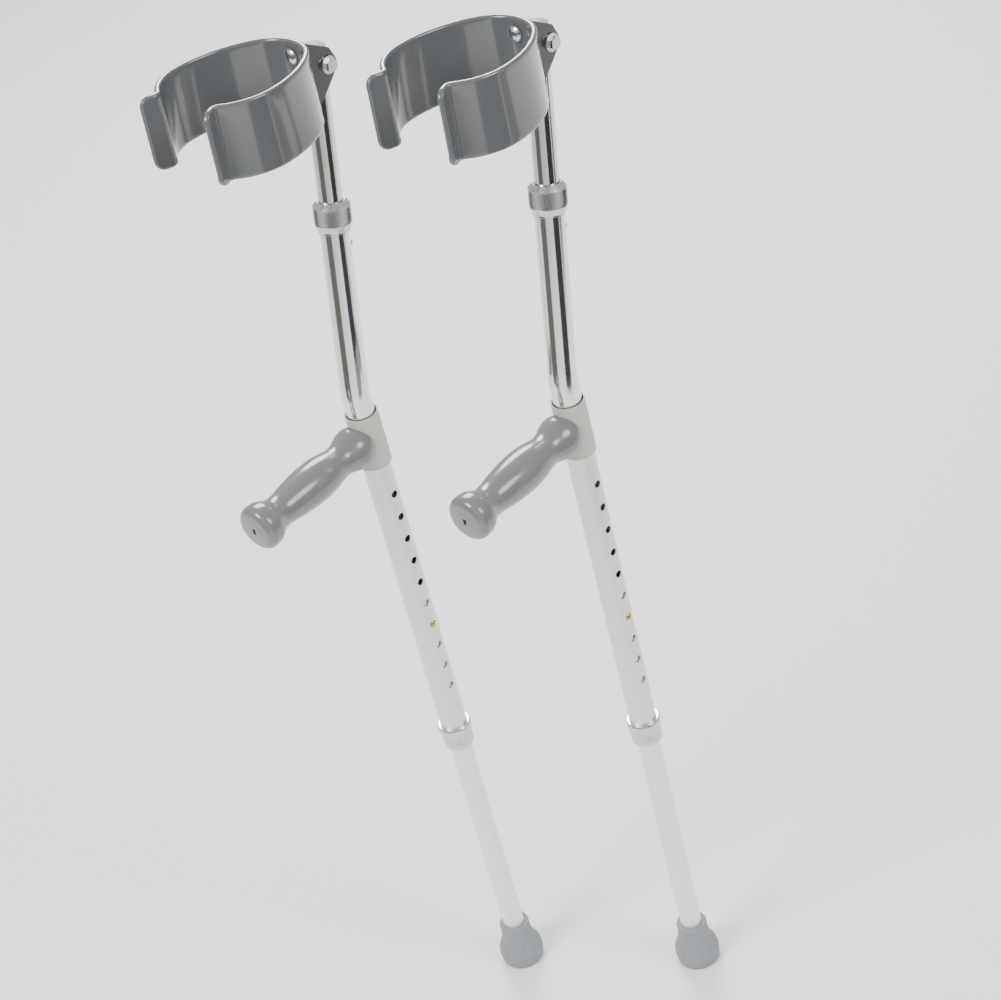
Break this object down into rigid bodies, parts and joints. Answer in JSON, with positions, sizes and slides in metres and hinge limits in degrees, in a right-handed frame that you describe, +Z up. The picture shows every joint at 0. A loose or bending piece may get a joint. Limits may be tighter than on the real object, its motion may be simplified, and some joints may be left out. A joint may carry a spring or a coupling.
{
  "type": "forearm crutch pair",
  "caption": "Pair of height-adjustable forearm crutches with open tilting arm cuffs, horizontal handgrips, spring-button tubes, lock collars and rubber feet.",
  "frame": {"origin": "centre of the right crutch's foot, on the floor", "axes": "+Z up the leg, -Y the way the handgrips point, +X to the user's left"},
  "size_m": [0.277, 0.3053, 1.0496],
  "materials": {
    "polished_tube": "polished",
    "satin_tube": "satin",
    "collar_metal": "turned",
    "sleeve_plastic": "matte",
    "grip_plastic": "gloss",
    "cuff_plastic": "gloss",
    "bush_plastic": "matte",
    "cap_plastic": "matte",
    "tip_rubber": "matte",
    "spring_steel": "brushed",
    "plated_steel": "bright plated",
    "bracket_steel": "black nickel",
    "button_brass": "polished"
  },
  "bodies": {
    "right_main": {"right_main_tube": "polished_tube", "right_handle_core": "polished_tube", "right_handle_sleeve": "sleeve_plastic", "right_handgrip": "grip_plastic", "right_leg_collet": "bush_plastic", "right_forearm_collet": "bush_plastic"},
    "right_leg": {"right_leg_tube": "satin_tube", "right_leg_tube_bush": "bush_plastic", "right_tip_washer": "spring_steel", "right_rubber_tip": "tip_rubber", "right_leg_snap_spring": "spring_steel"},
    "right_leg_button": {"right_leg_snap_button": "button_brass"},
    "right_leg_collar": {"right_leg_lock_collar": "collar_metal"},
    "right_forearm": {"right_forearm_tube": "satin_tube", "right_forearm_tube_bush": "bush_plastic", "right_forearm_snap_spring": "spring_steel", "right_forearm_end_cap": "cap_plastic", "right_cuff_pivot_bush": "spring_steel", "right_cuff_pivot_bolt": "plated_steel", "right_cuff_pivot_nut": "plated_steel"},
    "right_forearm_button": {"right_forearm_snap_button": "button_brass"},
    "right_forearm_collar": {"right_forearm_lock_collar": "collar_metal"},
    "right_cuff": {"right_cuff_bracket": "bracket_steel", "right_arm_cuff": "cuff_plastic", "right_rivet_washers": "bush_plastic", "right_cuff_rivets": "plated_steel"},
    "left_main": {"left_main_tube": "polished_tube", "left_handle_core": "polished_tube", "left_handle_sleeve": "sleeve_plastic", "left_handgrip": "grip_plastic", "left_leg_collet": "bush_plastic", "left_forearm_collet": "bush_plastic"},
    "left_leg": {"left_leg_tube": "satin_tube", "left_leg_tube_bush": "bush_plastic", "left_tip_washer": "spring_steel", "left_rubber_tip": "tip_rubber", "left_leg_snap_spring": "spring_steel"},
    "left_leg_button": {"left_leg_snap_button": "button_brass"},
    "left_leg_collar": {"left_leg_lock_collar": "collar_metal"},
    "left_forearm": {"left_forearm_tube": "satin_tube", "left_forearm_tube_bush": "bush_plastic", "left_forearm_snap_spring": "spring_steel", "left_forearm_end_cap": "cap_plastic", "left_cuff_pivot_bush": "spring_steel", "left_cuff_pivot_bolt": "plated_steel", "left_cuff_pivot_nut": "plated_steel"},
    "left_forearm_button": {"left_forearm_snap_button": "button_brass"},
    "left_forearm_collar": {"left_forearm_lock_collar": "collar_metal"},
    "left_cuff": {"left_cuff_bracket": "bracket_steel", "left_arm_cuff": "cuff_plastic", "left_rivet_washers": "bush_plastic", "left_cuff_rivets": "plated_steel"}
  },
  "joints": [
    {"name": "right_leg_height", "type": "slide", "parent": "right_main", "child": "right_leg", "axis": [0, 0, -1], "range_m": [-0.1524, 0.0762], "deforming": ["right_leg_snap_button"]},
    {"name": "right_leg_button_press", "type": "slide", "parent": "right_leg", "child": "right_leg_button", "axis": [-1, 0, 0], "range_m": [0, 0.0034], "stiffness_N_per_m": 2000, "springref_m": -0.001, "deforming": ["right_leg_snap_spring"]},
    {"name": "right_leg_collar_turn", "type": "hinge", "parent": "right_main", "child": "right_leg_collar", "pos_m": [0, 0, 0.312], "axis": [0, 0, 1], "range_deg": [0, 180]},
    {"name": "right_forearm_height", "type": "slide", "parent": "right_main", "child": "right_forearm", "axis": [0, -0.1908, -0.9816], "range_m": [0, 0.0762], "deforming": ["right_forearm_snap_button"]},
    {"name": "right_forearm_button_press", "type": "slide", "parent": "right_forearm", "child": "right_forearm_button", "axis": [-0.5, -0.8501, 0.1652], "range_m": [0, 0.0034], "stiffness_N_per_m": 2000, "springref_m": -0.001, "deforming": ["right_forearm_snap_spring"]},
    {"name": "right_forearm_collar_turn", "type": "hinge", "parent": "right_main", "child": "right_forearm_collar", "pos_m": [0, 0.03244, 0.88688], "axis": [0, 0.1908, 0.9816], "range_deg": [0, 180]},
    {"name": "right_cuff_tilt", "type": "hinge", "parent": "right_forearm", "child": "right_cuff", "pos_m": [0, 0.05919, 1.00899], "axis": [-1, 0, 0], "range_deg": [0, 60]},
    {"name": "left_leg_height", "type": "slide", "parent": "left_main", "child": "left_leg", "axis": [0, 0, -1], "range_m": [-0.1524, 0.0762], "deforming": ["left_leg_snap_button"]},
    {"name": "left_leg_button_press", "type": "slide", "parent": "left_leg", "child": "left_leg_button", "axis": [-1, 0, 0], "range_m": [0, 0.0034], "stiffness_N_per_m": 2000, "springref_m": -0.001, "deforming": ["left_leg_snap_spring"]},
    {"name": "left_leg_collar_turn", "type": "hinge", "parent": "left_main", "child": "left_leg_collar", "pos_m": [0.163, 0.089, 0.312], "axis": [0, 0, 1], "range_deg": [0, 180]},
    {"name": "left_forearm_height", "type": "slide", "parent": "left_main", "child": "left_forearm", "axis": [0, -0.1908, -0.9816], "range_m": [0, 0.0762], "deforming": ["left_forearm_snap_button"]},
    {"name": "left_forearm_button_press", "type": "slide", "parent": "left_forearm", "child": "left_forearm_button", "axis": [-0.5, -0.8501, 0.1652], "range_m": [0, 0.0034], "stiffness_N_per_m": 2000, "springref_m": -0.001, "deforming": ["left_forearm_snap_spring"]},
    {"name": "left_forearm_collar_turn", "type": "hinge", "parent": "left_main", "child": "left_forearm_collar", "pos_m": [0.163, 0.12144, 0.88688], "axis": [0, 0.1908, 0.9816], "range_deg": [0, 180]},
    {"name": "left_cuff_tilt", "type": "hinge", "parent": "left_forearm", "child": "left_cuff", "pos_m": [0.163, 0.14819, 1.00899], "axis": [-1, 0, 0], "range_deg": [0, 60]},
    {"name": "left_crutch_shift", "type": "slide", "parent": "right_main", "child": "left_main", "axis": [1, 0, 0], "range_m": [-0.03, 0.3]}
  ]
}
